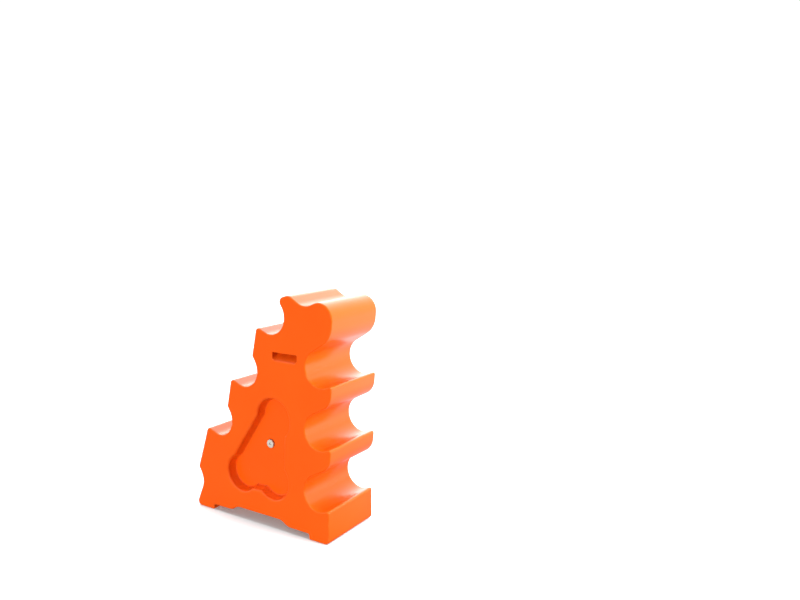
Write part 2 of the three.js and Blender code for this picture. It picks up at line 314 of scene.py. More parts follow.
def slot_circles(depth, grow=0.0):
    """The four corner circles of the finger slot at one depth: the roof is level, the floor
    climbs along a ramp, and the two lower corners are rounder than the upper ones."""
    left, right, top = SLOT_X[0] - grow, SLOT_X[1] + grow, SLOT_Z[1] + grow
    climb = (SLOT_Z[1] - SLOT_LIP - SLOT_Z[0]) * depth / (SLOT_D + grow)
    floor = SLOT_Z[0] - grow + climb
    low_r, top_r = min(SLOT_LOW_R, 0.45 * (top - floor)), SLOT_TOP_R
    return np.array([
        (right - low_r, floor + low_r, low_r), (right - top_r, top - top_r, top_r),
        (left + top_r, top - top_r, top_r), (left + low_r, floor + low_r, low_r)])


# The sides run straight from the round at the front face to the round at the back.
side = side_circles()
side_steps = outline_steps(side, FINE)
edge_rows = arc(-EDGE_R, FACE_Y + EDGE_R, EDGE_R, -90, 0, wear_and_shade=1.0)
front_rows = [(-EDGE_R - HOLD, FACE_Y, 0.0), *edge_rows]
depths = np.linspace(FACE_Y + EDGE_R + HOLD, -FACE_Y - EDGE_R - HOLD, 22)
side_rows = [*front_rows, *[(0.0, y, 0.0) for y in depths],
             *[(g, -y, w) for g, y, w in front_rows[::-1]]]
parts = [carried(side, side_steps, side_rows)]

# The recess has a wide round at its rim, a wall that draws in for the mould to let go, and a
# small round where the wall meets the floor.
recess = recess_circles()
recess_steps = outline_steps(recess, FINE)
slope = math.degrees(math.atan2(RECESS_DRAFT, RECESS_D))
reach = math.tan(math.radians(90 - slope) / 2)
rim = arc(RECESS_RIM_R * reach, FACE_Y + RECESS_RIM_R, RECESS_RIM_R, -90, -180 - slope,
          wear_and_shade=0.6)
floor_grow = -RECESS_DRAFT - RECESS_FLOOR_R * reach
# The small round at the foot of the wall gets a little painted shade (a value below 0).
foot = arc(floor_grow, FLOOR_Y - RECESS_FLOOR_R, RECESS_FLOOR_R, slope, 90, wear_and_shade=-0.12)
wall_ends = np.array([rim[-1][:2], foot[0][:2]])
wall_rows = [(*(wall_ends[0] * (1 - t) + wall_ends[1] * t), 0.0) for t in (0.25, 0.5, 0.75)]
recess_rows = [(RECESS_RIM_R * reach + HOLD, FACE_Y, 0.0), *rim, *wall_rows, *foot,
               (floor_grow - HOLD, FLOOR_Y, 0.0)]
recess_wall = flipped(carried(recess, recess_steps, recess_rows))
recess_ring = outline(recess, recess_steps, recess_rows[0][0])
floor_ring = outline(recess, recess_steps, recess_rows[-1][0])

# The finger slot has a small round at its rim, and painted shade darkens it towards its bottom.
slot_steps = outline_steps(slot_circles(0.0), 0.002)
slot_levels = [(HOLD + SLOT_RIM_R, 0.0)] + [
    (SLOT_RIM_R * (1 - math.sin(a)), SLOT_RIM_R * (1 - math.cos(a)))
    for a in np.radians(np.linspace(0, 90, 6))]
slot_levels += [(0.0, d) for d in np.linspace(2 * SLOT_RIM_R, SLOT_D - 0.001, 6)]
slot_levels += [(-0.0006, SLOT_D - 0.0003), (-0.0016, SLOT_D)]
slot_rings = [outline(slot_circles(d), slot_steps, g) for g, d in slot_levels]
slot_points = [at_depth(ring, FACE_Y + d) for ring, (_, d) in zip(slot_rings, slot_levels)]
# Rubbed a little on the rim; below 0 the value is painted shade, deepest at the bottom.
slot_wear_and_shade = [0.3 * (0 < d < SLOT_RIM_R) - max(0.0, d / SLOT_D) for _, d in slot_levels]
slot_wall = flipped((np.concatenate(slot_points), woven(len(slot_rings), len(slot_rings[0])),
                     np.repeat(slot_wear_and_shade, len(slot_rings[0]))))
slot_end = flat(FACE_Y + SLOT_D, slot_rings[-1], spacing=0.004)
# The slot's end wall gets the full painted shade.
slot_end = (*slot_end[:2], slot_end[2] - 1.0)

face = flat(FACE_Y, outline(side, side_steps, -EDGE_R - HOLD), [recess_ring, slot_rings[0]])
front = [face, recess_wall, slot_wall, slot_end]

pip_a, pip_r = np.meshgrid(np.arange(16) * np.pi / 8, np.linspace(0.0, 1.5, 6)[1:] * PIP_R)
pip_offsets = np.stack([pip_r * np.sin(pip_a), pip_r * np.cos(pip_a)], -1).reshape(-1, 2)
pip_offsets = np.r_[np.zeros((1, 2)), pip_offsets]
pip_points = (PIPS[:, None] + pip_offsets[None]).reshape(-1, 2)


def pipped(part):
    """Two small locating dimples in the recess floor: the depth falls off from the middle
    as a raised cosine."""
    points, faces, wear_and_shade = part
    away = np.hypot(*(points[:, None, ::2] - PIPS[None]).transpose(2, 0, 1)).min(1)
    dip = PIP_DEEP * (0.5 + 0.5 * np.cos(np.pi * np.clip(away / (1.3 * PIP_R), 0, 1)))
    return points + np.c_[0 * dip, dip, 0 * dip], faces, wear_and_shade


# The seal's seat is a shallow round sink in the recess floor, and the hole behind it closes
# round the bush's barrel and collar.
seat_rows = [(SEAT_R + SEAT_LIP + HOLD, FLOOR_Y, 0.0), (SEAT_R + SEAT_LIP, FLOOR_Y, 0.2),
             (SEAT_R + 0.3 * SEAT_LIP, FLOOR_Y + 0.3 * SEAT_LIP, 0.3),
             (SEAT_R, FLOOR_Y + SEAT_LIP, 0.2),
             (SEAT_R, SEAT_Y - SHARP, 0.0), (SEAT_R - SHARP, SEAT_Y, 0.0)]
bore, collar_bore = BUSH_R + GAP, COLLAR_R + GAP
groove = [SEAT_Y + COLLAR_AT[0] - GAP, SEAT_Y + COLLAR_AT[1] + GAP]
hole_rows = [(bore + BORE_EDGE, SEAT_Y, 0.0), (bore, SEAT_Y + BORE_EDGE, 0.0),
             (bore, groove[0], 0.0), (collar_bore, groove[0], 0.0),
             (collar_bore, groove[1], 0.0), (bore, groove[1], 0.0),
             (bore, SEAT_Y + BOSS_L, 0.0), (BOSS_R, SEAT_Y + BOSS_L, 0.0),
             (BOSS_R, FLOOR_Y + WALL, 0.0)]
hole = turned([*seat_rows, *hole_rows])
seat_ring = hole[0][:COLUMNS, ::2][::-1]
floor_front = pipped(flat(FLOOR_Y, floor_ring, [seat_ring], extra=pip_points, spacing=0.006))
floor_back = pipped(flat(FLOOR_Y, floor_ring, extra=pip_points, spacing=0.006))

# The inside of the wall follows the outside at an even 6 mm, and goes round the back of the
# recess, of the slot and of the boss that holds the bush.
inner_steps = outline_steps(side, COARSE)
inner_y, inner_floor_y = FACE_Y + WALL, FLOOR_Y + WALL
inner_rows = [(-WALL, y, 0.0) for y in np.linspace(inner_y, -inner_y, 9)]
inner_side = carried(side, inner_steps, inner_rows)
back_steps = outline_steps(recess, COARSE)
back_rows = [(WALL * (1 - WALL / (RECESS_D + WALL)), inner_y, 0.0), (0.0, inner_floor_y, 0.0)]
recess_back = carried(recess, back_steps, back_rows)
recess_back_rings = [outline(recess, back_steps, grow) for grow, _, _ in back_rows]
slot_depths = (WALL, SLOT_D + WALL)
slot_back_steps = outline_steps(slot_circles(0.0, WALL), 0.006)
slot_back_rings = [outline(slot_circles(d, WALL), slot_back_steps) for d in slot_depths]
slot_back_points = [at_depth(ring, FACE_Y + d) for ring, d in zip(slot_back_rings, slot_depths)]
slot_back = (np.concatenate(slot_back_points), woven(2, len(slot_back_rings[0])),
             np.zeros(2 * len(slot_back_rings[0])))
slot_back_end = flat(FACE_Y + SLOT_D + WALL, slot_back_rings[1], spacing=INNER_GRID)
inner_face = flat(inner_y, outline(side, inner_steps, -WALL),
                  [recess_back_rings[0], slot_back_rings[0]], spacing=INNER_GRID)
hole_ring = hole[0][-COLUMNS:, ::2][::-1]
inner_parts = [flipped(inner_face), recess_back, slot_back, flipped(slot_back_end)]
front_inner_floor = flipped(flat(inner_floor_y, recess_back_rings[1], [hole_ring],
                                 spacing=INNER_GRID))
back_inner_floor = flipped(flat(inner_floor_y, recess_back_rings[1], spacing=INNER_GRID))

parts += [*front, floor_front, flipped(hole)]
parts += [mirrored(p) for p in [*front, floor_back]]
parts += [flipped(inner_side), *inner_parts, front_inner_floor]
parts += [mirrored(p) for p in [*inner_parts, back_inner_floor]]


def welded(parts):
    """All parts as one mesh: points that coincide to a tenth of a micrometre become one,
    and faces that lose a corner become triangles or go."""
    points = np.concatenate([p for p, _, _ in parts])
    wear_and_shade = np.concatenate([w for _, _, w in parts])
    first = np.cumsum([0, *[len(p) for p, _, _ in parts[:-1]]])
    key = np.round(points / CLOSE).astype(np.int64)
    _, kept, back = np.unique(key, axis=0, return_index=True, return_inverse=True)
    back = back.ravel()
    faces = [back[f + n] for (_, f, _), n in zip(parts, first)]
    quads = np.concatenate([f for f in faces if f.shape[1] == 4])
    tris = np.concatenate([np.zeros((0, 3), int), *[f for f in faces if f.shape[1] == 3]])
    same = quads == np.roll(quads, -1, 1)
    single = same.sum(1) == 1
    loose = np.argmax(same[single], 1)
    picks = (loose[:, None] + np.arange(1, 4)) % 4
    tris = np.r_[tris, np.take_along_axis(quads[single], picks, 1)]
    return points[kept], wear_and_shade[kept], quads[same.sum(1) == 0], tris


def as_object(name, points, quads, tris, wear_and_shade=None):
    """A smooth-shaded mesh object at the origin from point, quad and triangle arrays, with the
    wear of each point, or its painted shade where the value is below 0, kept as an attribute."""
    mesh = bpy.data.meshes.new(name)
    loops = np.concatenate([quads.ravel(), tris.ravel()])
    sizes = np.concatenate([np.full(len(quads), 4), np.full(len(tris), 3)])
    mesh.vertices.add(len(points))
    mesh.vertices.foreach_set("co", points.astype(np.float32).ravel())
    mesh.loops.add(len(loops))
    mesh.loops.foreach_set("vertex_index", loops.astype(np.int32))
    mesh.polygons.add(len(sizes))
    mesh.polygons.foreach_set("loop_start", (np.cumsum(sizes) - sizes).astype(np.int32))
    mesh.polygons.foreach_set("loop_total", sizes.astype(np.int32))
    mesh.polygons.foreach_set("use_smooth", np.ones(len(sizes), bool))
    mesh.update(calc_edges=True)
    mesh.validate()
    if wear_and_shade is not None:
        mesh.attributes.new("wear_and_shade", "FLOAT", "POINT").data.foreach_set(
            "value", wear_and_shade.astype(np.float32))
    made = bpy.data.objects.new(name, mesh)
    bpy.context.scene.collection.objects.link(made)
    return made


def facings(points, quads, tris):
    """The outward direction at each point: the cross products of the diagonals of its quads
    and of the sides of its triangles, added up and brought to length 1."""
    total = np.zeros_like(points)
    for faces in (quads, tris):
        first = points[faces[:, 2]] - points[faces[:, 0]]
        second = points[faces[:, -1]] - points[faces[:, 1]]
        np.add.at(total, faces.ravel(), np.repeat(np.cross(first, second), faces.shape[1], 0))
    return total / np.maximum(np.linalg.norm(total, axis=1), 1e-12)[:, None]


def rolled(points, quads, tris):
    """Moulded flats are never dead flat: each point moves inwards by WAVE_MEAN more or less
    WAVE_HEIGHT, a product of slow sine waves over X, Y and Z, but not near the filler hole."""
    x, y, z = points.T
    wave = np.sin(41 * x + 17 * z) * np.sin(29 * z - 13 * x + 0.7)
    wave = 0.6 * wave + 0.4 * np.sin(53 * z + 31 * y + 1.3) * np.sin(37 * x - 23 * y)
    clear = np.clip((np.hypot(x - PLUG_X, z - PLUG_Z) - SEAT_R) / SEAT_R, 0, 1)
    deep = clear * (WAVE_MEAN + WAVE_HEIGHT * wave)
    return points - facings(points, quads, tris) * deep[:, None]


points, wear_and_shade, quads, tris = welded(parts)
shell = as_object("block_skin", rolled(points, quads, tris), quads, tris, wear_and_shade)
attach(shell, "block")
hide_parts("block_shell")


def shader(name, **sockets):
    """A material with a Principled shader whose plain values are set on its own sockets."""
    made = bpy.data.materials.new(name)
    made.use_nodes = True
    inputs = made.node_tree.nodes["Principled BSDF"].inputs
    for socket, value in sockets.items():
        inputs[socket.replace("_", " ")].default_value = value
    return made


class Wiring:
    """Adds nodes to one tree: each call makes a node, sets its properties and its unlinked
    inputs, links the others, and gives back the node's outputs by name."""

    def __init__(self, tree):
        self.tree = tree

    def __call__(self, kind, inputs=None, **properties):
        node = self.tree.nodes.new("ShaderNode" + kind)
        for name, value in properties.items():
            setattr(node, name, value)
        for key, value in (inputs or {}).items():
            if isinstance(value, bpy.types.NodeSocket):
                self.tree.links.new(value, node.inputs[key])
            else:
                node.inputs[key].default_value = value
        return node.outputs

    def math(self, operation, first, second=0.0):
        """A Math node's result for two values, each a number or an output."""
        return self("Math", {0: first, 1: second}, operation=operation)[0]

    def spread(self, value, low, high, out_low, out_high):
        """A value between low and high carried over to the range out_low to out_high."""
        return self("MapRange", {"Value": value, "From Min": low, "From Max": high,
                                 "To Min": out_low, "To Max": out_high})[0]

    def blend(self, factor, first, second):
        """A colour between two colours."""
        return self("Mix", {"Factor": factor, "A": first, "B": second}, data_type="RGBA")["Result"]

    def finish(self, **sockets):
        """Links results to the Principled shader's sockets."""
        last = self.tree.nodes["Principled BSDF"]
        for socket, value in sockets.items():
            self.tree.links.new(value, last.inputs[socket.replace("_", " ")])


def surface_group():
    """The fine surface of a moulded or machined piece: Height is a skin of small soft bumps
    with a few pits, Mottle a slow cloud from 0 to 1, and Scratch a mask of short hair marks.
    Rub is a mask that grows where the wear input is above 0, on rubbed edges, and the shade mask
    one that grows where it is below 0, as painted shade in corners and hollows. Grain and Cloud
    are bumps and clouds per metre."""
    tree = bpy.data.node_groups.new("fine_surface", "ShaderNodeTree")
    sockets = tree.interface
    sockets.new_socket("Vector", in_out="INPUT", socket_type="NodeSocketVector")
    for name in ("Wear_and_shade", "Grain", "Cloud"):
        sockets.new_socket(name, in_out="INPUT", socket_type="NodeSocketFloat")
    for name in ("Height", "Mottle", "Scratch", "Rub", "Painted_shade"):
        sockets.new_socket(name, in_out="OUTPUT", socket_type="NodeSocketFloat")
    w = Wiring(tree)
    given = tree.nodes.new("NodeGroupInput").outputs
    place, grain, cloud = given["Vector"], given["Grain"], given["Cloud"]
    peel = w("TexNoise", {"Vector": place, "Scale": grain, "Detail": 2.0, "Roughness": 0.45})[0]
    seeds = w("TexVoronoi", {"Vector": place, "Scale": w.math("MULTIPLY", grain, 0.35)})[0]
    pits = w.spread(seeds, 0.0, 0.05, -0.12, 0.0)
    height = w.math("ADD", peel, pits)
    mottle = w("TexNoise", {"Vector": place, "Scale": cloud, "Detail": 2.0, "Roughness": 0.5})[0]
    hair_scale = w.math("MULTIPLY", grain, 1.6)
    masks = []
    for turn in ((0.3, 0.2, 0.9), (0.9, 0.1, -0.5)):
        drawn = w("Mapping", {"Vector": place, "Rotation": turn, "Scale": (1.0, 1.0, 0.04)})[0]
        hair = w("TexNoise", {"Vector": drawn, "Scale": hair_scale, "Detail": 0.0})[0]
        masks.append(w.spread(hair, 0.86, 0.94, 0.0, 1.0))
    patch_scale = w.math("MULTIPLY", cloud, 2.5)
    patch = w("TexNoise", {"Vector": place, "Scale": patch_scale, "Detail": 1.0})[0]
    patch = w.spread(patch, 0.5, 0.65, 0.0, 1.0)
    scratch = w.math("MULTIPLY", w.math("MAXIMUM", *masks), patch)
    uneven_scale = w.math("MULTIPLY", cloud, 9.0)
    uneven = w("TexNoise", {"Vector": place, "Scale": uneven_scale, "Detail": 5.0})[0]
    worn = w.math("MAXIMUM", given["Wear_and_shade"], 0.0)
    rub = w.math("MULTIPLY", worn, w.spread(uneven, 0.46, 0.72, 0.0, 1.0))
    # Below 0 the input carries painted shade, made patchy, for hollows.
    shade_amount = w.math("MAXIMUM", w.math("MULTIPLY", given["Wear_and_shade"], -1.0), 0.0)
    painted_shade = w.math("MULTIPLY", shade_amount, w.spread(uneven, 0.3, 0.6, 0.6, 1.0))
    last = tree.nodes.new("NodeGroupOutput")
    for name, value in zip(("Height", "Mottle", "Scratch", "Rub", "Painted_shade"),
                           (height, mottle, scratch, rub, painted_shade)):
        tree.links.new(value, last.inputs[name])
    return tree


FINE_SURFACE = surface_group()


def surface(w, grain, cloud):
    """The fine surface's outputs in one material, on the piece's own coordinates."""
    node = w.tree.nodes.new("ShaderNodeGroup")
    node.node_tree = FINE_SURFACE
    node.inputs["Grain"].default_value = grain
    node.inputs["Cloud"].default_value = cloud
    w.tree.links.new(w("TexCoord")["Object"], node.inputs["Vector"])
    w.tree.links.new(w("Attribute", attribute_name="wear_and_shade")["Fac"], node.inputs["Wear_and_shade"])
    return node.outputs


def polyethylene():
    """Pigmented polyethylene: clouded by uneven melting, with an orange-peel skin, paler and
    duller where edges are rubbed or the skin is scratched, and darkened with painted shade in the
    slot and at the foot of the recess wall."""
    made = shader("orange_polyethylene", IOR=1.52)
    w = Wiring(made.node_tree)
    fine = surface(w, 330.0, 7.0)
    body = w.blend(fine["Mottle"], *ORANGES)
    marked = w.math("MAXIMUM", w.math("MULTIPLY", fine["Scratch"], 0.02),
                    w.math("MULTIPLY", fine["Rub"], 0.12))
    # Painted shade: the body turns towards the dark orange where the shade mask is high.
    body = w.blend(w.math("MULTIPLY", fine["Painted_shade"], 0.7), body, SHADED_ORANGE)
    colour = w.blend(marked, body, RUBBED_ORANGE)
    rough = w.spread(fine["Mottle"], 0.0, 1.0, 0.26, 0.32)
    rough = w.math("ADD", rough, w.math("MULTIPLY", marked, 0.5))
    bump = w("Bump", {"Height": fine["Height"], "Distance": 0.00004, "Strength": 0.6})[0]
    w.finish(Base_Color=colour, Roughness=rough, Normal=bump)
    return made


shell.data.materials.append(polyethylene())

# ---- filler plug ----------------------------------------------------------------------
# A white nylon screw plug, injection moulded: a round head with a shallow dish and a socket
# for a hexagon key, and a shank with a coarse thread that screws into the bush.
plug_low, plug_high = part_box("filler_plug")
HEAD_R, HEAD_T, HEAD_EDGE_R = 12.2 * MM, 4 * MM, 1.1 * MM
DISH_R, DISH_FLOOR_R, DISH_DEEP = 9.2 * MM, 7.4 * MM, 1.0 * MM
HEX_IN_R, HEX_DEEP, HEX_MOUTH = 4.0 * MM, 5.0 * MM, 0.35 * MM
PITCH, ROOT_R, THREAD_H = 2.5 * MM, 5.25 * MM, 0.95 * MM
NECK_R, NECK_L, TIP = 5.6 * MM, 1.4 * MM, 1.0 * MM
THREAD_STEP = 0.16 * MM
WHITES = [(0.57, 0.53, 0.46, 1), (0.69, 0.665, 0.615, 1)]
RUBBED_WHITE = (0.34, 0.32, 0.29, 1)


def thread(y, first, last):
    """How high a screw thread stands, from 0 to 1, over rows y and the columns' angles: a
    trapezium of the phase y / pitch - angle / turn, which dies out at both ends."""
    turn = np.arange(COLUMNS) / COLUMNS
    phase = (y[:, None] / PITCH - turn) % 1.0
    high = np.clip((0.42 - np.abs(phase - 0.5)) / 0.30, 0, 1)
    run_in = np.clip((y - first) / PITCH, 0, 1) * np.clip((last - y) / PITCH, 0, 1)
    return high**2 * (3 - 2 * high) * np.minimum(1.0, 4 * run_in)[:, None]


def six_sided(amount):
    """Each column's radius as a share of a hexagon's inner radius: 1 for a circle where
    amount is 0, and 1 / cos of the angle from the nearest flat where it is 1."""
    a = np.arange(COLUMNS) * 2 * np.pi / COLUMNS
    flat_a = (a + np.pi / 6) % (np.pi / 3) - np.pi / 6
    return 1 + np.asarray(amount)[:, None] * (1 / np.cos(np.clip(flat_a, -0.49, 0.49)) - 1)


def plug_rows():
    """The plug's profile from the middle of its socket to its tip, as rows of radius, y, wear
    and how six-sided the row is."""
    front, under = plug_low.y, plug_low.y + HEAD_T
    dish, sole = front + DISH_DEEP, front + HEX_DEEP
    rows = [(0.0, sole + 0.9 * MM, 0, 0), (1.0 * MM, sole + 0.6 * MM, 0, 0),
            (2.2 * MM, sole, 0, 0)]
    rows += [(r, sole, 0, s) for r, s in ((HEX_IN_R - 0.9 * MM, 0.6), (HEX_IN_R - 0.3 * MM, 1.0))]
    rows += [(HEX_IN_R, y, 0, 1) for y in np.linspace(sole - 0.3 * MM, dish + HEX_MOUTH, 6)]
    rows += [(HEX_IN_R + 0.5 * HEX_MOUTH, dish + 0.3 * HEX_MOUTH, 0.6, 0.95),
             (HEX_IN_R + HEX_MOUTH, dish, 0.3, 0.9), (HEX_IN_R + 3 * HEX_MOUTH, dish, 0, 0.3),
             (DISH_FLOOR_R - 0.4 * MM, dish, 0, 0), (DISH_FLOOR_R, dish - 0.08 * MM, 0, 0),
             (DISH_FLOOR_R + 0.4 * MM, dish - 0.3 * MM, 0, 0),
             (DISH_R - 0.4 * MM, front + 0.25 * MM, 0, 0), (DISH_R, front + 0.05 * MM, 0.4, 0),
             (DISH_R + 0.4 * MM, front, 0.6, 0)]
    for t in np.radians(np.linspace(-90, 0, 8)):
        rows.append((HEAD_R - HEAD_EDGE_R * (1 - math.cos(t)),
                     front + HEAD_EDGE_R * (1 + math.sin(t)), 0.9, 0))
    rows += [(HEAD_R, under - 0.5 * MM, 0, 0), (HEAD_R - 0.15 * MM, under - 0.12 * MM, 0.5, 0),
             (HEAD_R - 0.5 * MM, under, 0, 0), (NECK_R + 0.5 * MM, under, 0, 0),
             (NECK_R + 0.12 * MM, under + 0.12 * MM, 0, 0), (NECK_R, under + 0.5 * MM, 0, 0),
             (NECK_R, under + NECK_L, 0, 0)]
    return np.array(rows)


head = plug_rows()
shank_y = np.arange(head[-1, 1] + THREAD_STEP, plug_high.y - TIP, THREAD_STEP)
shank = ROOT_R + THREAD_H * thread(shank_y, shank_y[0], shank_y[-1])
tip_y = plug_high.y - TIP * np.array([0.9, 0.5, 0.1, 0.0, 0.0])
tip = np.array([ROOT_R, ROOT_R - 0.3 * MM, ROOT_R - 0.7 * MM, ROOT_R - 1.0 * MM, 0.0])
tip = np.repeat(tip[:, None], COLUMNS, 1)
plug_radius = np.r_[head[:, :1] * six_sided(head[:, 3]), shank, tip]
plug_y = np.r_[head[:, 1], shank_y, tip_y][:, None]
plug_wear = np.r_[head[:, 2], 0.3 * np.ones(len(shank_y) + len(tip_y))][:, None]
points, wear_and_shade, quads, tris = welded([spun(plug_radius, plug_y, plug_wear)])
plug = as_object("filler_plug_moulding", points, quads, tris, wear_and_shade)
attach(plug, "plug")
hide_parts("filler_plug")


def nylon():
    """White nylon: slightly yellow in clouds, with a satin moulded skin and grey rubbing in
    the socket and round the rim."""
    made = shader("white_nylon", IOR=1.53)
    w = Wiring(made.node_tree)
    fine = surface(w, 1600.0, 60.0)
    body = w.blend(fine["Mottle"], *WHITES)
    marked = w.math("MAXIMUM", w.math("MULTIPLY", fine["Rub"], 0.6), fine["Scratch"])
    colour = w.blend(marked, body, RUBBED_WHITE)
    rough = w.spread(fine["Mottle"], 0.0, 1.0, 0.40, 0.50)
    bump = w("Bump", {"Height": fine["Height"], "Distance": 0.00002, "Strength": 0.5})[0]
    w.finish(Base_Color=colour, Roughness=rough, Normal=bump)
    return made


plug.data.materials.append(nylon())

# ---- plug bush ------------------------------------------------------------------------
# A turned brass bush that the plastic is moulded round. Its collar and the straight knurl
# on its outside lock it in the boss, and its thread takes the plug.
bush_low, bush_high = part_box("plug_bush")
KNURLS, KNURL_H, BUSH_BEVEL = 32, 0.25 * MM, 0.5 * MM
THREAD_GAP = 0.2 * MM
BORE_R = ROOT_R + THREAD_H + THREAD_GAP
BRASSES = [(0.52, 0.34, 0.12, 1), (0.74, 0.55, 0.25, 1)]


def knurled(share):
    """How far each column lies under the outside of the knurl: a row of V grooves, so that
    the three columns of each ridge go down, up and down. share is 1 on a knurled row."""
    ridge = np.abs((np.arange(COLUMNS) * KNURLS / COLUMNS) % 1.0 - 0.5) * 2
    return np.asarray(share)[:, None] * KNURL_H * ridge


bush_front, bush_rear = bush_low.y, bush_high.y
collar = [bush_front + COLLAR_AT[0] - GAP, bush_front + COLLAR_AT[1] - GAP]
bush_bore_y = np.arange(bush_rear - BUSH_BEVEL, bush_front + BUSH_BEVEL, -THREAD_STEP)
bush_bore = BORE_R - THREAD_H * (1 - thread(bush_bore_y, bush_front - PITCH, bush_rear + PITCH))
outside = [
    (BORE_R + BUSH_BEVEL, bush_front, 0.6, 0), (BORE_R + 2 * BUSH_BEVEL, bush_front, 0, 0),
    (BUSH_R - BUSH_BEVEL, bush_front, 0.3, 0), (BUSH_R, bush_front + BUSH_BEVEL, 0.6, 0),
    (BUSH_R, bush_front + 2 * BUSH_BEVEL, 0, 1), (BUSH_R, collar[0] - BUSH_BEVEL, 0, 1),
    (BUSH_R, collar[0], 0, 0), (COLLAR_R - BUSH_BEVEL, collar[0], 0, 0),
    (COLLAR_R, collar[0] + BUSH_BEVEL, 0.6, 0), (COLLAR_R, collar[0] + 2 * BUSH_BEVEL, 0, 1),
    (COLLAR_R, collar[1] - 2 * BUSH_BEVEL, 0, 1), (COLLAR_R, collar[1] - BUSH_BEVEL, 0.6, 0),
    (COLLAR_R - BUSH_BEVEL, collar[1], 0, 0), (BUSH_R, collar[1], 0, 0),
    (BUSH_R, collar[1] + BUSH_BEVEL, 0, 1), (BUSH_R, bush_rear - 2 * BUSH_BEVEL, 0, 1),
    (BUSH_R, bush_rear - BUSH_BEVEL, 0.6, 0), (BUSH_R - BUSH_BEVEL, bush_rear, 0.3, 0),
    (BORE_R + BUSH_BEVEL, bush_rear, 0.6, 0)]
outside = np.array(outside)
bush_radius = np.r_[outside[:, :1] - knurled(outside[:, 3]), bush_bore]
bush_radius = np.r_[bush_radius, bush_radius[:1]]
bush_y = np.r_[outside[:, 1], bush_bore_y, outside[:1, 1]][:, None]
bush_wear = np.r_[outside[:, 2], np.zeros(len(bush_bore_y)), outside[:1, 2]][:, None]
points, wear_and_shade, quads, tris = welded([spun(bush_radius, bush_y, bush_wear)])
bush = as_object("plug_bush_turning", points, quads, tris, wear_and_shade)
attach(bush, "block")
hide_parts("plug_bush")


def turned_brass():
    """Brass with the fine rings that a lathe tool leaves, a noise of the distance from the
    axis, dulled in clouds where it has tarnished."""
    made = shader("turned_brass", Metallic=1.0)
    w = Wiring(made.node_tree)
    fine = surface(w, 2600.0, 120.0)
    place = w("VectorMath", {0: w("TexCoord")["Object"], 1: (PLUG_X, 0.0, PLUG_Z)},
              operation="SUBTRACT")[0]
    level = w("VectorMath", {0: place, 1: (1.0, 0.0, 1.0)}, operation="MULTIPLY")[0]
    far_off = w("VectorMath", {0: level}, operation="LENGTH")["Value"]
    rings = w("TexNoise", {"W": far_off, "Scale": 9000.0, "Detail": 1.0}, noise_dimensions="1D")[0]
    colour = w.blend(fine["Mottle"], *BRASSES)
    rough = w.math("ADD", w.spread(fine["Mottle"], 0.0, 1.0, 0.42, 0.24),
                   w.math("MULTIPLY", rings, 0.10))
    bump = w("Bump", {"Height": w.math("ADD", rings, w.math("MULTIPLY", fine["Height"], 0.3)),
                      "Distance": 0.000012, "Strength": 0.7})[0]
    w.finish(Base_Color=colour, Roughness=rough, Normal=bump)
    return made


bush.data.materials.append(turned_brass())

# ---- plug seal ------------------------------------------------------------------------
# A flat black rubber ring that slips over the plug's shank and is squeezed between its head
# and the seat. Its edges are round, and the mould leaves a thin flash line round it.
seal_low, seal_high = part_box("plug_seal")
SEAL_OUT, SEAL_IN = 11.0 * MM, 6.7 * MM
SEAL_ROUND, FLASH, RIB_H = 0.35 * MM, 0.05 * MM, 0.06 * MM
BLACKS, BLOOM = [(0.011, 0.011, 0.012, 1), (0.030, 0.030, 0.031, 1)], (0.085, 0.083, 0.08, 1)


def seal_rows():
    """The ring's section as rows of radius, y and wear, anticlockwise from the inner front
    corner: a rounded rectangle with two low ribs on each flat side and a flash line."""
    half, middle = (seal_high.y - seal_low.y) / 2, (seal_high.y + seal_low.y) / 2
    reach, deep = (SEAL_OUT - SEAL_IN) / 2 - SEAL_ROUND, half - SEAL_ROUND
    centre = (SEAL_OUT + SEAL_IN) / 2
    t = np.radians(np.arange(-180, 180, 11.25))
    across = np.sign(np.cos(t)).round() * reach
    r = centre + across + (SEAL_ROUND - FLASH) * np.cos(t)
    y = middle + np.sign(np.sin(t)).round() * deep + SEAL_ROUND * np.sin(t)
    r += FLASH * (np.abs(np.sin(t)) < 0.01) * np.sign(np.cos(t))
    rows = np.c_[r, y, np.abs(np.sin(2 * t))]
    flats = []
    for way, turn in ((-1, 1), (1, -1)):
        at = np.linspace(-0.85, 0.85, 25) * turn
        rib = RIB_H * np.cos(3 * np.pi * at) ** 2
        flats.append(np.c_[centre + at * reach, middle + way * (half - RIB_H + rib), 0 * at])
    split = np.searchsorted(t, [-np.pi / 2, np.pi / 2])
    keep = np.abs(np.cos(t)) > 0.01
    inner_end, outer, inner_start = (
        part[kept] for part, kept in zip(np.split(rows, split), np.split(keep, split)))
    ring = np.concatenate([inner_end, flats[0], outer, flats[1], inner_start])
    return np.r_[ring, ring[:1]]


seal_section = seal_rows()
points, wear_and_shade, quads, tris = welded([turned(seal_section)])
seal = as_object("plug_seal_ring", points, quads, tris, wear_and_shade)
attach(seal, "seal")
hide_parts("plug_seal")


def rubber():
    """Black rubber with a grey bloom in clouds and a fine matt grain."""
    made = shader("black_rubber", IOR=1.52)
    w = Wiring(made.node_tree)
    fine = surface(w, 3000.0, 90.0)
    body = w.blend(fine["Mottle"], *BLACKS)
    colour = w.blend(w.math("MULTIPLY", fine["Rub"], 0.5), body, BLOOM)
    rough = w.spread(fine["Mottle"], 0.0, 1.0, 0.62, 0.80)
    bump = w("Bump", {"Height": fine["Height"], "Distance": 0.00002, "Strength": 0.8})[0]
    w.finish(Base_Color=colour, Roughness=rough, Normal=bump)
    return made


seal.data.materials.append(rubber())

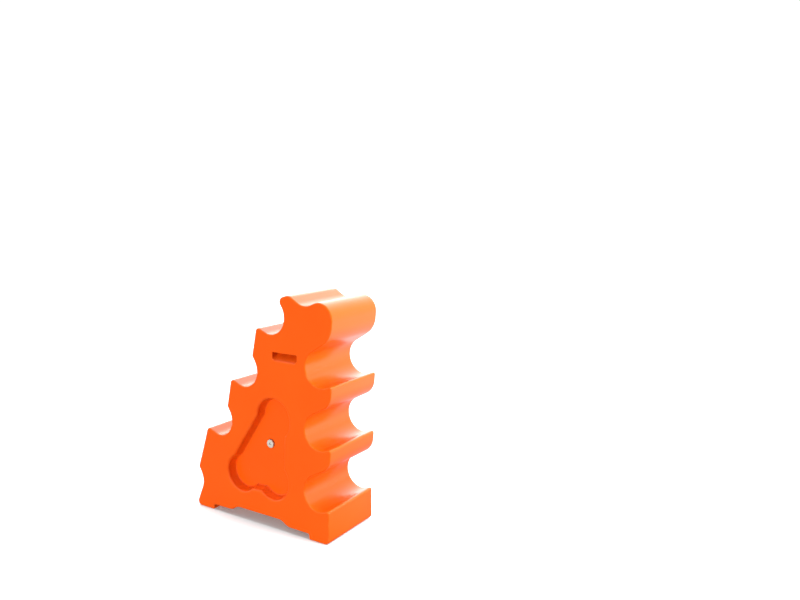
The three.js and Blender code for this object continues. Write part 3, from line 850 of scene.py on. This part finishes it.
# ---- studio ---------------------------------------------------------------------------
# A wide white floor in a bright white room. The room is brightest behind the block and dim
# in front of it, so that the flat face keeps its colour. Three soft suns and a key lamp at
# the right stand in for the studio's large lamps.
ROOM_WHITE = 1.05
ROOM_BACK, ROOM_BACK_GAIN, ROOM_BACK_FALL = (-0.55, 0.82, 0.15), 4.2, 4.0
ROOM_SIDE, ROOM_SIDE_GAIN, ROOM_SIDE_FALL = (0.62, 0.78, 0.0), 0.3, 6.0
ROOM_BASE, ROOM_TOP_GAIN = 0.10, 0.5
FLOOR_SIZE = 60.0
FLOOR_WHITE, FLOOR_DIM = (0.82, 0.92, 0.94, 1), (0.10, 0.10, 0.10, 1)
FLOOR_DARK = (0.05, 0.05, 0.05, 1)
FLOOR_GLOW, GLOW_FROM, GLOW_TO = (0.05, 1.6), -0.1, 1.1
FLOOR_LIFT = 0.16
SUNS = [("fill_lamp", (-0.03, 1.0, 0.06), 3.0, 30),
        ("top_lamp", (-0.12, 0.0, -1.0), 2.0, 20),
        ("rear_lamp", (-0.70, -0.70, -0.06), 2.4, 25)]
KEY_AT, KEY_TARGET, KEY_SIZE, KEY_POWER = (1.20, 0.16, 0.86), (0.15, 0.0, 0.35), (0.4, 0.8), 17.0
CAMERA_AT, CAMERA_HEADING, CAMERA_DIP = (1.39296, -1.56928, 0.93564), 0.5621, 0.14016
CAMERA_ROLL, SENSOR, FOCAL = 0.00183, 36.0, 32.625

bpy.ops.mesh.primitive_plane_add(size=FLOOR_SIZE)
ground = bpy.context.object
ground.name = "studio_floor"
ground.visible_shadow = False


def floor_white():
    """A white floor that stays white in view but sends little of its own light back on to
    the block, apart from a glow towards its far side that glossy plastic mirrors."""
    made = shader("floor_white", Roughness=0.9, Specular_IOR_Level=0.0,
                  Emission_Color=(1, 1, 1, 1))
    w = Wiring(made.node_tree)
    ray = w("LightPath")
    depth = w("VectorMath", {0: w("TexCoord")["Object"], 1: (0.0, 1.0, 0.0)},
              operation="DOT_PRODUCT")["Value"]
    glow = w.math("MULTIPLY", w.spread(depth, GLOW_FROM, GLOW_TO, *FLOOR_GLOW),
                  ray["Is Glossy Ray"])
    lift = w.math("MULTIPLY", ray["Is Camera Ray"], FLOOR_LIFT)
    colour = w.blend(ray["Is Diffuse Ray"], FLOOR_WHITE, FLOOR_DIM)
    colour = w.blend(ray["Is Glossy Ray"], colour, FLOOR_DARK)
    w.finish(Base_Color=colour, Emission_Strength=w.math("ADD", lift, glow))
    return made


ground.data.materials.append(floor_white())

world = bpy.data.worlds.new("studio")
bpy.context.scene.world = world
world.use_nodes = True
room = Wiring(world.node_tree)
direction = room("TexCoord")["Generated"]


def facing(way):
    """How far a direction of the room points the given way, from -1 to 1."""
    return room("VectorMath", {0: direction, 1: Vector(way).normalized()},
                operation="DOT_PRODUCT")["Value"]


def lobe(way, gain, fall):
    """Light that is strongest from one side of the room and fades out to its far side: gain
    times (facing + 0.5) / 1.5 to the power fall."""
    part = room.math("DIVIDE", room.math("ADD", facing(way), 0.5), 1.5)
    return room.math("MULTIPLY", room.math("POWER", room.math("MAXIMUM", part), fall), gain)


overhead = room.math("MULTIPLY", room.math("MAXIMUM", facing((0, 0, 1))), ROOM_TOP_GAIN)
light = room.math("ADD", lobe(ROOM_BACK, ROOM_BACK_GAIN, ROOM_BACK_FALL), ROOM_BASE)
light = room.math("ADD", light, lobe(ROOM_SIDE, ROOM_SIDE_GAIN, ROOM_SIDE_FALL))
light = room.math("ADD", light, overhead)
strength = room("Mix", {"Factor": room("LightPath")["Is Camera Ray"], "A": light,
                        "B": ROOM_WHITE})["Result"]
background = world.node_tree.nodes["Background"]
background.inputs["Color"].default_value = (1, 1, 1, 1)
world.node_tree.links.new(strength, background.inputs["Strength"])


def lamp(name, kind, power, place, way):
    """A lamp at a place, shining a given way, that reflections don't show."""
    light = bpy.data.lights.new(name, kind)
    light.energy = power
    held = bpy.data.objects.new(name, light)
    held.location = place
    held.rotation_euler = Vector(way).to_track_quat("-Z", "Y").to_euler()
    held.visible_glossy = False
    bpy.context.scene.collection.objects.link(held)
    return light


for name, way, power, spread in SUNS:
    lamp(name, "SUN", power, (0, 0, 0), way).angle = math.radians(spread)
key = lamp("key_lamp", "AREA", KEY_POWER, KEY_AT, Vector(KEY_TARGET) - Vector(KEY_AT))
key.shape = "RECTANGLE"
key.size, key.size_y = KEY_SIZE

lens = bpy.data.cameras.new("camera")
lens.sensor_width = SENSOR
lens.lens = FOCAL
camera = bpy.data.objects.new("camera", lens)
aim = Matrix.Rotation(CAMERA_HEADING, 4, "Z") @ Matrix.Rotation(math.pi / 2 - CAMERA_DIP, 4, "X")
camera.matrix_world = (Matrix.Translation(CAMERA_AT) @ aim
                       @ Matrix.Rotation(CAMERA_ROLL, 4, "Z"))
bpy.context.scene.collection.objects.link(camera)
bpy.context.scene.camera = camera
bpy.context.scene.view_settings.view_transform = "Standard"
